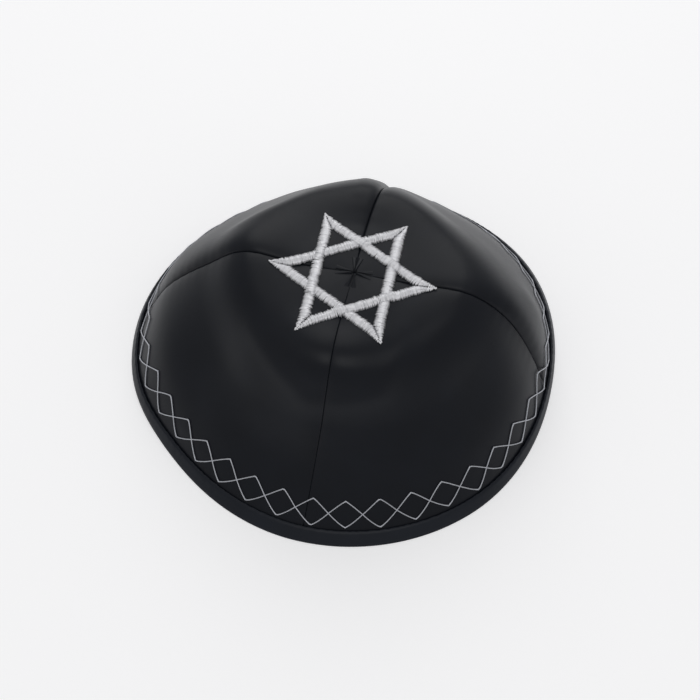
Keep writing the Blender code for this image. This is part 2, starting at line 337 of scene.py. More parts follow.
    def dent_lift(self, azimuth: Array, place: Array) -> Array:
        """Gives the height of the broad dents and swellings."""
        return sum(
            dent.depth
            * self.dent_depth
            * bell(turn_between(azimuth, dent.azimuth), dent.spread)
            * bell(place - dent.place, dent.reach)
            for dent in DENTS
        )

    def puff_lift(self, azimuth: Array, place: Array, points: Array) -> Array:
        """Works out how far the gores puff up beside the seams.

        Args:
            azimuth: degrees round the cap.
            place: places from the crown.
            points: plain points there.

        Returns:
            Heights over the plain outside.
        """
        lift = np.zeros_like(azimuth)
        for seam in SEAMS:
            turn = turn_between(azimuth, self.seam_azimuth(seam, place))
            share = abs(self.seam_distance(seam, azimuth, place)) / self.puff_reach
            puff = np.where(turn > 0, seam.after_puff, seam.before_puff)
            rise = puff * share * np.exp(1 - share) * bell(place - seam.puff_place, self.puff_spread)
            lift += np.where(abs(turn) <= 90, rise, 0) * self.puff_height
        return lift * self.rim_fade(points)

    def fold_lift(self, points: Array) -> Array:
        """Gives the height of the soft folds at plain points."""
        lift = np.zeros(points.shape[:-1])
        for fold in FOLDS:
            start = self.plain_point(fold.start_azimuth, fold.start_place)
            end = self.plain_point(fold.end_azimuth, fold.end_place)
            along = end - start
            share = np.clip((points - start) @ along / (along @ along), 0, 1)
            distance = np.linalg.norm(points - start - share[..., None] * along, axis=-1)
            swell = np.sin(np.pi * (self.fold_start + self.fold_span * share))
            lift += fold.height * bell(distance, fold.width) * swell
        return lift

    def ripple_lift(self, points: Array) -> Array:
        """Gives the height of the faint seeded ripples at plain points."""
        chance = np.random.default_rng(self.ripple_seed)
        lift = np.zeros(points.shape[:-1])
        for _ in range(self.ripple_count):
            direction = unit(chance.normal(size=3))
            length = chance.uniform(*self.ripple_lengths)
            phase = chance.uniform(0, math.tau)
            lift += np.sin(points @ direction * math.tau / length + phase)
        return lift * self.ripple_height * self.rim_fade(points)

    def cloth_point(self, azimuth: Array, place: Array, lift: Array | float = 0.0) -> Array:
        """Works out points of the finished outside.

        Args:
            azimuth: degrees round the cap.
            place: places from the crown.
            lift: height over the cloth, in metres.

        Returns:
            Points, with their coordinates along a last axis.
        """
        azimuth, place = np.broadcast_arrays(np.asarray(azimuth, float), np.asarray(place, float))
        points = self.plain_point(azimuth, place)
        lift = lift + self.dent_lift(azimuth, place) + self.puff_lift(azimuth, place, points)
        lift = lift + self.fold_lift(points) + self.ripple_lift(points)
        return points + self.plain_normal(azimuth, place) * lift[..., None]

    def place_at_height(self, azimuth: Array, height: Array | float) -> Array:
        """Finds places on the outer wall at these heights.

        Args:
            azimuth: degrees round the cap.
            height: heights over the floor.

        Returns:
            Places from the crown.
        """
        azimuth, height = np.broadcast_arrays(np.asarray(azimuth, float), np.asarray(height, float))
        low = np.full(azimuth.shape, self.last_place / 2)
        high = np.full(azimuth.shape, self.last_place)
        for _ in range(self.halvings):
            middle = (low + high) / 2
            above = self.cloth_point(azimuth, middle)[..., 2] > height
            low, high = np.where(above, middle, low), np.where(above, high, middle)
        return (low + high) / 2

    def place_at_rise(self, azimuth: Array, rise: Array, samples: int = 60) -> Array:
        """Finds places that are this far up the cloth from the rim.

        Args:
            azimuth: degrees round the cap.
            rise: lengths of cloth above the rim.
            samples: steps of the measuring down each profile.

        Returns:
            Places from the crown.
        """
        places = np.linspace(self.last_place, self.wall_place, samples)
        line = self.plain_point(azimuth[:, None], places[None, :])
        steps = np.linalg.norm(np.diff(line, axis=1), axis=-1)
        lengths = np.concatenate([np.zeros((len(azimuth), 1)), np.cumsum(steps, axis=1)], axis=1)
        found = [np.interp(want, row, places) for want, row in zip(rise, lengths)]
        return np.array(found)

    def place_over(self, across: Array, along: Array) -> tuple[Array, Array]:
        """Finds the cloth straight under or over points of the crown.

        Args:
            across: x of the points.
            along: y of the points.

        Returns:
            Azimuths in degrees and places.
        """
        low, high = np.zeros(across.shape), np.full(across.shape, self.last_place)
        azimuth = np.zeros(across.shape)
        for _ in range(self.halvings):
            middle = (low + high) / 2
            left = 1 - middle / self.last_place
            x = across - self.centre_x - self.crown_x * left
            y = along - self.centre_y - self.crown_y * left
            azimuth = np.degrees(np.arctan2(y, x))
            short = self.radius(azimuth, middle) < np.hypot(x, y)
            low, high = np.where(short, middle, low), np.where(short, high, middle)
        return azimuth, (low + high) / 2

    def wall_point(self, azimuth: Array, height: Array, offset: Array) -> Array:
        """Works out points beside the wall, at a height and a distance square to the cloth.

        Args:
            azimuth: degrees round the cap.
            height: heights over the floor.
            offset: distances out from the cloth's outside.

        Returns:
            Points, with their coordinates along a last axis.
        """
        place = self.place_at_height(azimuth, height)
        points = self.cloth_point(azimuth, place)
        level = self.plain_normal(azimuth, place)
        level[..., 2] = 0
        points = points + level / np.sum(level**2, -1, keepdims=True) * offset[..., None]
        points[..., 2] = height
        return points


def linear(colour: str) -> tuple[float, float, float, float]:
    """Turns an sRGB hex colour linear.

    Args:
        colour: six hex digits after a #.

    Returns:
        Linear red, green and blue, and full alpha.
    """
    parts = [int(colour[start : start + 2], 16) / 255 for start in (1, 3, 5)]
    turned = [part / 12.92 if part <= 0.04045 else ((part + 0.055) / 1.055) ** 2.4 for part in parts]
    return (*turned, 1.0)


def add_node(
    tree: bpy.types.NodeTree,
    kind: str,
    settings: dict[Any, Any] | None = None,
    links: dict[Any, bpy.types.NodeSocket] | None = None,
) -> bpy.types.Node:
    """Adds a node, or takes up the one that has this name, with its settings and links.

    Args:
        tree: tree that gets the node.
        kind: the node's type, or the name of one that the tree has.
        settings: values by input name or number, or else by property name.
        links: output sockets by input name or number.

    Returns:
        The node.
    """
    node = tree.nodes.get(kind) or tree.nodes.new(kind)
    for name, value in (settings or {}).items():
        if isinstance(name, int) or name in node.inputs:
            node.inputs[name].default_value = value
        else:
            setattr(node, name, value)
    for name, socket in (links or {}).items():
        tree.links.new(socket, node.inputs[name])
    return node


def new_material(name: str) -> tuple[bpy.types.Material, bpy.types.NodeTree]:
    """Starts a material, and gives it with its node tree."""
    material = bpy.data.materials.new(name)
    material.use_nodes = True
    return material, material.node_tree


@dataclass(frozen=True)
class SatinFinish:
    """Polyester satin, woven in a warp-faced satin weave and dyed navy black.

    Its long floats give the eye a smooth dark cloth with a soft bluish gloss that runs across the
    threads. The threads are about 0.1 mm apart, too fine to show, so slubs are drawn 0.45 mm apart.
    """

    name: str = "satin_polyester_woven"
    dark: str = "#0E1015"
    light: str = "#161920"
    patch_length: float = 22.0
    slub_width: float = 0.45
    slub_length: float = 9.0
    slub_depth: float = 0.02 * MM
    roughness_low: float = 0.36
    roughness_high: float = 0.46
    specular: float = 0.18
    anisotropy: float = 0.45
    sheen: float = 0.02
    sheen_roughness: float = 0.45
    sheen_tint: str = "#AEB6CC"

    def material(self) -> bpy.types.Material:
        """Builds the satin's material from the piece's own UV map, which is in millimetres."""
        material, tree = new_material(self.name)
        cloth = add_node(tree, "ShaderNodeUVMap", {"uv_map": CLOTH_UV})
        slub_scale = (1 / self.slub_width, 1 / self.slub_length, 1.0)
        threads = add_node(
            tree, "ShaderNodeMapping", {"Scale": slub_scale}, {"Vector": cloth.outputs["UV"]}
        )
        slubs = add_node(
            tree,
            "ShaderNodeTexNoise",
            {"Scale": 1.0, "Detail": 3.0, "Roughness": 0.6},
            {"Vector": threads.outputs["Vector"]},
        )
        patches = add_node(
            tree,
            "ShaderNodeTexNoise",
            {"Scale": 1 / self.patch_length, "Detail": 2.0},
            {"Vector": cloth.outputs["UV"]},
        )
        colour = add_node(
            tree,
            "ShaderNodeMix",
            {"data_type": "RGBA", 6: linear(self.dark), 7: linear(self.light)},
            {0: patches.outputs[0]},
        )
        roughness = add_node(
            tree,
            "ShaderNodeMapRange",
            {"To Min": self.roughness_low, "To Max": self.roughness_high},
            {"Value": slubs.outputs[0]},
        )
        bump = add_node(
            tree,
            "ShaderNodeBump",
            {"Strength": 0.5, "Distance": self.slub_depth},
            {"Height": slubs.outputs[0]},
        )
        tangent = add_node(
            tree, "ShaderNodeTangent", {"direction_type": "UV_MAP", "uv_map": CLOTH_UV}
        )
        gloss = {
            "Specular IOR Level": self.specular,
            "Anisotropic": self.anisotropy,
            "Sheen Weight": self.sheen,
            "Sheen Roughness": self.sheen_roughness,
            "Sheen Tint": linear(self.sheen_tint),
        }
        woven = {
            "Base Color": colour.outputs[2],
            "Roughness": roughness.outputs[0],
            "Normal": bump.outputs[0],
            "Tangent": tangent.outputs[0],
        }
        add_node(tree, SHADER, gloss, woven)
        return material


@dataclass(frozen=True)
class SilverFinish:
    """Metallic embroidery thread: silver film wound round a polyester core.

    It gives the eye a pale, broken glitter that is painted into the colour: each stitch is painted a
    little greyer or paler for how it catches the light, and grey flecks are painted shade where the
    film turns away. The flecks are 0.5 mm, about one thread wide.
    """

    name: str = "silver_film_thread_wound"
    pale: str = "#EDEDF0"
    grey: str = "#A6A7AD"
    fleck: float = 0.5 * MM
    fleck_share: float = 0.35
    metallic: float = 0.55
    roughness: float = 0.38
    depth: float = 0.06 * MM

    def material(self) -> bpy.types.Material:
        """Builds the thread's material from Object coordinates and each stitch's own shade."""
        material, tree = new_material(self.name)
        place = add_node(tree, "ShaderNodeTexCoord")
        flecks = add_node(
            tree,
            "ShaderNodeTexNoise",
            {"Scale": 1 / self.fleck, "Detail": 2.0, "Roughness": 0.7},
            {"Vector": place.outputs["Object"]},
        )
        shade = add_node(tree, "ShaderNodeAttribute", {"attribute_name": SHADE})
        cut_off = add_node(
            tree,
            "ShaderNodeMapRange",
            {"From Min": 0.52, "From Max": 0.72, "To Min": 0.0, "To Max": self.fleck_share},
            {"Value": flecks.outputs[0]},
        )
        # painted reflection: the flecks and each stitch's shade grey the colour where the film turns
        # from the light
        painted_dull_reflection = add_node(
            tree,
            "ShaderNodeMath",
            {"operation": "ADD", "use_clamp": True},
            {0: cut_off.outputs[0], 1: shade.outputs["Fac"]},
        )
        colour = add_node(
            tree,
            "ShaderNodeMix",
            {"data_type": "RGBA", 6: linear(self.pale), 7: linear(self.grey)},
            {0: painted_dull_reflection.outputs[0]},
        )
        bump = add_node(
            tree,
            "ShaderNodeBump",
            {"Strength": 0.6, "Distance": self.depth},
            {"Height": flecks.outputs[0]},
        )
        gloss = {"Metallic": self.metallic, "Roughness": self.roughness}
        add_node(tree, SHADER, gloss, {"Base Color": colour.outputs[2], "Normal": bump.outputs[0]})
        return material


@dataclass(frozen=True)
class FloorFinish:
    """Matt white table board, painted: an even pale ground that keeps only a faint soft shade."""

    name: str = "board_painted_matt_white"
    colour: str = "#F4F4F5"
    glow: float = 0.25
    roughness: float = 0.9

    def material(self) -> bpy.types.Material:
        """Builds the floor's material."""
        material, tree = new_material(self.name)
        paint = {"Base Color": linear(self.colour), "Roughness": self.roughness}
        shine = {"Emission Color": linear(self.colour), "Emission Strength": self.glow}
        add_node(tree, SHADER, {**paint, **shine})
        return material


def add_object(
    name: str, shape: bmesh.types.BMesh, material: bpy.types.Material
) -> bpy.types.Object:
    """Makes an object from a finished shape, which is freed, and links it to the scene."""
    mesh = bpy.data.meshes.new(name)
    shape.to_mesh(mesh)
    shape.free()
    mesh.materials.append(material)
    item = bpy.data.objects.new(name, mesh)
    bpy.context.scene.collection.objects.link(item)
    return item


def turn_round(shape: bmesh.types.BMesh, section: list[Any], steps: int) -> None:
    """Turns a section's vertices and edges round the Z axis into a closed ring."""
    bmesh.ops.spin(
        shape, geom=section, cent=(0, 0, 0), axis=(0, 0, 1), angle=math.tau, steps=steps, use_merge=True
    )


def add_piece(
    name: str,
    shape: bmesh.types.BMesh,
    material: bpy.types.Material,
    replaced: tuple[str, ...] = (),
) -> bpy.types.Object:
    """Makes a piece of the object from a finished shape.

    Args:
        name: the piece's name.
        shape: its bmesh, freed here.
        material: its finish.
        replaced: CAD nodes that it stands for.

    Returns:
        The object, riding on the cap's body.
    """
    piece = add_object(name, shape, material)
    piece.data.shade_smooth()
    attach(piece, BODY)
    if replaced:
        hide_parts(*replaced)
    LOG.info("%s: %d faces", name, len(piece.data.polygons))
    return piece


def move_verts(shape: bmesh.types.BMesh, points: Array) -> None:
    """Moves every vertex of a shape to its point, in the vertices' order."""
    for vert, point in zip(shape.verts, points):
        vert.co = point


def vert_places(shape: bmesh.types.BMesh) -> Array:
    """Gives the coordinates of a shape's vertices, in their order."""
    return np.array([vert.co[:] for vert in shape.verts])


@dataclass
class SatinGore:
    """One gore of satin between two seams, with its edges turned under along both."""

    name: str
    node: str
    cap: CapShape
    seam: Seam
    next_seam: Seam
    columns: int = 104
    rows: int = 116
    crowding: float = 0.75
    wall: float = 0.8 * MM
    fold_radius: float = 0.85 * MM
    fold_steps: int = 7
    seam_lap: float = 0.02 * MM
    allowance: float = 5.0 * MM
    allowance_steps: int = 3
    full_width: float = 24.0 * MM
    least_share: float = 1e-6
    tip_weld: float = 1.0 * MM
    tuck_depth: float = 0.9 * MM
    tuck_reach: float = 2.2 * MM
    pucker_height: float = 0.04 * MM
    pucker_length: float = 5.5 * MM
    pucker_reach: float = 4.0 * MM
    wander: float = 1.3
    wander_length: float = 11.0 * MM
    edge_height: float = 1.6 * MM
    cut_width: float = 142.0 * MM
    cut_length: float = 116.0 * MM
    cut_share: float = 0.62

    def margin(self, crease: float) -> tuple[Array, Array]:
        """Lays out a turned edge, from its raw edge inside to where it meets the gore.

        Args:
            crease: width of the fold as a share of its full width.

        Returns:
            Distances from the seam, and lifts.
        """
        turned = np.linspace(self.allowance, self.fold_radius, self.allowance_steps, endpoint=False)
        swing = np.linspace(-math.pi / 2, math.pi / 2, self.fold_steps)
        distances = np.concatenate([turned, self.fold_radius * crease * (1 - np.cos(swing))])
        under = np.full(self.allowance_steps, -2 * self.fold_radius)
        lifts = np.concatenate([under, self.fold_radius * (np.sin(swing) - 1)])
        return distances - self.seam_lap, lifts

    def layout(self) -> tuple[Array, Array, Array, Array]:
        """Works out where each row and column of the gore goes.

        Returns:
            Azimuths, places, lifts and distances from the gore's middle, each rows by columns.
        """
        first_out, first_lift = self.margin(self.seam.crease)
        last_out, last_lift = (values[::-1] for values in self.margin(self.next_seam.crease))
        turned = len(first_out)
        even = np.linspace(0, 1, self.columns + 1)[1:-1]
        shares = even + self.crowding * ((1 - np.cos(np.pi * even)) / 2 - even)
        full_turn = 360 if self.next_seam.azimuth < self.seam.azimuth else 0
        rim_start = self.cap.seam_azimuth(self.seam, self.cap.last_place)
        rim_end = self.cap.seam_azimuth(self.next_seam, self.cap.last_place) + full_turn
        column_shares = np.concatenate([np.zeros(turned), shares, np.ones(turned)])
        lowest = self.cap.place_at_height(
            rim_start + column_shares * (rim_end - rim_start), self.edge_height
        )
        place = np.linspace(0, 1, self.rows + 1)[:, None] * lowest[None, :]
        start = self.cap.seam_azimuth(self.seam, place)
        end = self.cap.seam_azimuth(self.next_seam, place) + full_turn
        width = self.cap.radius((start + end) / 2, place) * np.radians(end - start)
        grown = np.clip(width / self.full_width, 0, 1)
        width = np.maximum(width, self.full_width * self.least_share)
        scale = np.where(grown < 1, 1 / self.full_width, 1 / width)
        first_edge = first_out[-1] * scale[:, turned:-turned]
        last_edge = last_out[0] * scale[:, turned:-turned]
        ratio = np.concatenate(
            [
                first_out * scale[:, :turned],
                first_edge + shares * (1 - first_edge - last_edge),
                1 - last_out * scale[:, -turned:],
            ],
            axis=1,
        )
        lift = np.concatenate([first_lift, np.zeros(len(shares)), last_lift]) * grown
        return start + ratio * (end - start), place, lift, (ratio - 0.5) * width

    def build(self, finish: bpy.types.Material) -> bpy.types.Object:
        """Builds the gore.

        Args:
            finish: the satin.

        Returns:
            The finished piece.
        """
        azimuth, place, lift, across = self.layout()
        plain = self.cap.plain_point(azimuth, place)
        nearest, crease = self.cap.nearest_seam(azimuth, place)
        fade = self.cap.rim_fade(plain)
        down = np.linalg.norm(np.diff(plain, axis=0), axis=-1).cumsum(axis=0)
        down = np.concatenate([np.zeros((1, down.shape[1])), down])
        wander = self.wander * np.sin(down / self.wander_length) + self.seam.azimuth
        pucker = np.sin(down * math.tau / self.pucker_length + wander)
        settled = np.clip(down / self.full_width, 0, 1)
        drawn = crease * fade * settled
        lift = lift - self.tuck_depth * np.exp(-nearest / self.tuck_reach) * drawn
        gathered = pucker * np.exp(-nearest / self.pucker_reach) * drawn
        lift = lift + self.pucker_height * gathered
        points = self.cap.cloth_point(azimuth, place, lift)

        rows, columns = (count - 1 for count in azimuth.shape)
        grid = bmesh.new()
        bmesh.ops.create_grid(grid, x_segments=columns, y_segments=rows, size=0.5)
        spots = vert_places(grid)
        column = np.rint((spots[:, 0] + 0.5) * columns).astype(int)
        row = np.rint((spots[:, 1] + 0.5) * rows).astype(int)
        move_verts(grid, points[row, column])
        cloth = np.stack([across, down], -1)[row, column] / MM
        layer = grid.loops.layers.uv.new(CLOTH_UV)
        grid.verts.index_update()
        for face in grid.faces:
            for loop in face.loops:
                loop[layer].uv = cloth[loop.vert.index]
        grid.verts.ensure_lookup_table()
        tip = [grid.verts[index] for index in np.flatnonzero(row == 0)]
        bmesh.ops.remove_doubles(grid, verts=tip, dist=self.tip_weld)
        bmesh.ops.recalc_face_normals(grid, faces=grid.faces)
        if sum(face.normal.z * face.calc_area() for face in grid.faces) < 0:
            bmesh.ops.reverse_faces(grid, faces=grid.faces)
        gore = add_piece(self.name, grid, finish, (self.node,))
        wall = gore.modifiers.new("wall", "SOLIDIFY")
        wall.thickness = self.wall
        wall.offset = -1
        sewn = sum(face.area for face in gore.data.polygons)
        LOG.info("%s: %.0f square mm of cloth", self.name, sewn / MM**2)
        return gore


@dataclass
class StitchWork:
    """Many short stitches in one piece: one unit tube, repeated and laid along its own line each."""

    thickness: float = 0.22 * MM
    sides: int = 6
    segments: int = 6
    end_taper: float = 0.55
    cut_tolerance: float = 1e-5

    def unit_tube(self) -> bpy.types.Mesh:
        """Makes a closed tube along +Z from 0 to 1, of radius 1."""
        tube = bmesh.new()
        bmesh.ops.create_cone(
            tube, cap_ends=True, segments=self.sides, radius1=1.0, radius2=1.0, depth=1.0
        )
        for index in range(1, self.segments):
            geometry = tube.verts[:] + tube.edges[:] + tube.faces[:]
            level = (0, 0, index / self.segments - 0.5)
            bmesh.ops.bisect_plane(
                tube, geom=geometry, dist=self.cut_tolerance, plane_co=level, plane_no=(0, 0, 1)
            )
        bmesh.ops.translate(tube, verts=tube.verts, vec=(0, 0, 0.5))
        mesh = bpy.data.meshes.new("unit_tube")
        tube.to_mesh(mesh)
        tube.free()
        return mesh

    def lay(self, lines: Array, normals: Array, shades: Array, flatness: float) -> bmesh.types.BMesh:
        """Lays one tube along each line.

        Args:
            lines: points of each stitch's middle line: stitches, segments + 1, coordinates.
            normals: outward directions of the cloth there.
            shades: how grey each stitch is painted, 0 to 1, as painted reflection.
            flatness: thickness square to the cloth as a share of the width.

        Returns:
            All the stitches, with their shades.
        """
        template = self.unit_tube()
        work = bmesh.new()
        for _ in range(len(lines)):
            work.from_mesh(template)
        bpy.data.meshes.remove(template)
        unit_places = vert_places(work).reshape(len(lines), -1, 3)
        station = np.rint(unit_places[..., 2] * self.segments).astype(int)
        along = unit(np.gradient(lines, axis=1))
        side = unit(np.cross(along, normals))
        up = np.cross(side, along)
        stitch = np.arange(len(lines))[:, None]
        taper = np.where((station == 0) | (station == self.segments), self.end_taper, 1.0)
        width = self.thickness * taper
        points = (
            lines[stitch, station]
            + side[stitch, station] * (unit_places[..., 0] * width)[..., None]
            + up[stitch, station] * (unit_places[..., 1] * width * flatness)[..., None]
        )
        move_verts(work, points.reshape(-1, 3))
        layer = work.verts.layers.float.new(SHADE)
        repeated = np.repeat(shades, unit_places.shape[1])
        for vert, shade in zip(work.verts, repeated):
            vert[layer] = shade
        bmesh.ops.recalc_face_normals(work, faces=work.faces)
        return work


@dataclass
class StarEmbroidery:
    """Six-pointed star of two interlaced triangles, satin-stitched across each band."""

    cap: CapShape
    radius: float = 32.3 * MM
    band: float = 4.3 * MM
    turn: float = 1.5
    shift_x: float = -0.4 * MM
    shift_y: float = -1.8 * MM
    pitch: float = 0.40 * MM
    height: float = 0.85 * MM
    over_height: float = 0.55 * MM
    base_lift: float = 0.05 * MM
    arch_power: float = 2.6
    least_fullness: float = 0.25
    end_jitter: float = 0.14 * MM
    slant: float = 0.10 * MM
    pitch_jitter: float = 0.12
    # painted reflection: the spread of greys that stands for how each stitch catches the light
    shade: float = 0.10
    shade_spread: float = 0.14
    shade_limit: float = 0.6
    flatness: float = 0.7
    seed: int = 3
    stitches: StitchWork = field(default_factory=lambda: StitchWork(thickness=0.235 * MM))

    def band_stitches(self, index: int) -> tuple[Array, Array]:
        """Works out the stitches of one band, in the star's plane.

        Args:
            index: number of the band; odd ones make the upper triangle.

        Returns:
            Inner and outer ends of the stitches.
        """
        chance = np.random.default_rng(self.seed + index)
        angle = math.radians(self.turn + 60 * index)
        outward = np.array([math.cos(angle), math.sin(angle)])
        onward = np.array([-math.sin(angle), math.cos(angle)])
        outer = self.radius / 2
        inner = outer - self.band
        tip = outer * math.sqrt(3)
        corner = inner * math.sqrt(3)
        steps = np.arange(-tip + self.pitch, tip - self.pitch / 2, self.pitch)
        steps = steps + chance.uniform(-self.pitch_jitter, self.pitch_jitter, len(steps)) * self.pitch
        miter = inner + np.maximum(abs(steps) - corner, 0) / (tip - corner) * self.band
        inner_end = miter + chance.normal(0, self.end_jitter, len(steps))
        outer_end = outer + chance.normal(0, self.end_jitter, len(steps))
        slant = chance.normal(0, self.slant, len(steps))
        starts = outward * inner_end[:, None] + onward * (steps - slant)[:, None]
        ends = outward * outer_end[:, None] + onward * (steps + slant)[:, None]
        return starts, ends

    def over_share(self, spots: Array) -> Array:
        """Tells how far spots lie over the lower triangle's bands: 0 clear of them, 1 on them."""
        outer = self.radius / 2
        middle = outer - self.band / 2
        found = np.zeros(spots.shape[:-1])
        for index in (0, 2, 4):
            angle = math.radians(self.turn + 60 * index)
            distance = spots @ np.array([math.cos(angle), math.sin(angle)])
            found = np.maximum(found, 1 - np.clip((abs(distance - middle) - self.band / 2) / MM, 0, 1))
        return found

    def build(self, finish: bpy.types.Material) -> bpy.types.Object:
        """Builds the star.

        Args:
            finish: the silver thread.

        Returns:
            The finished piece.
        """
        pairs = [self.band_stitches(index) for index in range(6)]
        starts = np.concatenate([pair[0] for pair in pairs])
        ends = np.concatenate([pair[1] for pair in pairs])
        upper = np.repeat([index % 2 == 1 for index in range(6)], [len(pair[0]) for pair in pairs])
        share = np.linspace(0, 1, self.stitches.segments + 1)
        spots = starts[:, None] + (ends - starts)[:, None] * share[None, :, None]
        length = np.linalg.norm(ends - starts, axis=-1)
        arch = 1 - abs(2 * share - 1) ** self.arch_power
        fullness = np.clip(length / self.band, self.least_fullness, 1)
        lift = self.base_lift + self.height * arch * fullness[:, None]
        lift = lift + np.where(upper[:, None], self.over_share(spots) * self.over_height, 0)
        centre_x = self.cap.centre_x + self.cap.crown_x + self.shift_x
        centre_y = self.cap.centre_y + self.cap.crown_y + self.shift_y
        azimuth, place = self.cap.place_over(spots[..., 0] + centre_x, spots[..., 1] + centre_y)
        lines = self.cap.cloth_point(azimuth, place, lift)
        normals = self.cap.plain_normal(azimuth, place)
        chance = np.random.default_rng(self.seed)
        # painted reflection: a random grey per stitch, for how its film catches the light
        drawn = chance.normal(self.shade, self.shade_spread, len(lines))
        shades = np.clip(drawn, 0, self.shade_limit)
        work = self.stitches.lay(lines, normals, shades, self.flatness)
        return add_piece("star_stitches", work, finish, ("star_embroidery",))


@dataclass
class BorderEmbroidery:
    """Two silver threads that wave round the cap above its rim and cross to make diamonds."""

    cap: CapShape
    diamonds: int = 38
    first_azimuth: float = 277.3
    rise: float = 11.6 * MM
    swing: float = 5.2 * MM
    thickness: float = 0.24 * MM
    lift: float = 0.35 * MM
    steps_per_diamond: int = 16
    sides: int = 6
    pointedness: float = 0.75
    knot: float = 0.35
    knot_reach: float = 0.07
    swing_spread: float = 0.06
    lean_spread: float = 0.05
    ring_radius: float = 0.25
    seed: int = 11

    def wave(self, thread: int, turn: Array) -> tuple[Array, Array]:
        """Works out one thread's line.

        Args:
            thread: 0 or 1; the two are half a wave apart.
            turn: shares of the whole way round.

        Returns:
            Azimuths in degrees, and lengths of cloth above the rim.
        """
        chance = np.random.default_rng(self.seed + thread)
        swings = self.swing * (1 + chance.normal(0, self.swing_spread, self.diamonds))
        leans = chance.normal(0, self.lean_spread, self.diamonds)
        along = turn * self.diamonds
        cell = np.floor(along).astype(int) % self.diamonds
        share = along - np.floor(along)
        leaned = share ** (1 + leans[cell])
        rounded = np.sin(math.pi * leaned)
        pointed = 1 - abs(2 * leaned - 1)
        form = rounded * (1 - self.pointedness) + pointed * self.pointedness
        side = np.where((cell + thread) % 2 == 0, 1, -1)
        azimuth = self.first_azimuth + along * 360 / self.diamonds
        return azimuth, self.rise + side * form * swings[cell]

    def build_thread(self, thread: int, finish: bpy.types.Material) -> bpy.types.Object:
        """Builds one thread: a ring turned from a small circle, then laid along its wave.

        Args:
            thread: 0 or 1.
            finish: the silver thread.

        Returns:
            The finished piece.
        """
        steps = self.diamonds * self.steps_per_diamond
        turn = np.arange(steps) / steps
        azimuth, rise = self.wave(thread, turn)
        place = self.cap.place_at_rise(azimuth, rise)
        lines = self.cap.cloth_point(azimuth, place, self.lift)
        normals = self.cap.plain_normal(azimuth, place)
        along = unit(np.roll(lines, -1, axis=0) - np.roll(lines, 1, axis=0))
        side = unit(np.cross(along, normals))
        up = np.cross(side, along)
        ring = bmesh.new()
        circle = bmesh.ops.create_circle(ring, segments=self.sides, radius=self.ring_radius)
        upright = Matrix.Rotation(math.pi / 2, 3, "X")
        bmesh.ops.rotate(ring, verts=ring.verts, cent=(0, 0, 0), matrix=upright)
        bmesh.ops.translate(ring, verts=ring.verts, vec=(1, 0, 0))
        turn_round(ring, circle["verts"] + ring.edges[:], steps)
        spots = vert_places(ring)
        station = np.rint(np.arctan2(spots[:, 1], spots[:, 0]) / math.tau * steps).astype(int) % steps
        out = (np.hypot(spots[:, 0], spots[:, 1]) - 1) / self.ring_radius
        high = spots[:, 2] / self.ring_radius
        peak = abs(turn * self.diamonds % 1.0 - 0.5)
        width = self.thickness * (1 + self.knot * bell(peak, self.knot_reach))[station]
        points = (
            lines[station]
            + side[station] * (high * width)[:, None]
            + up[station] * (out * width)[:, None]
        )
        move_verts(ring, points)
        bmesh.ops.recalc_face_normals(ring, faces=ring.faces)
        return add_piece(f"border_thread_{thread + 1}", ring, finish)


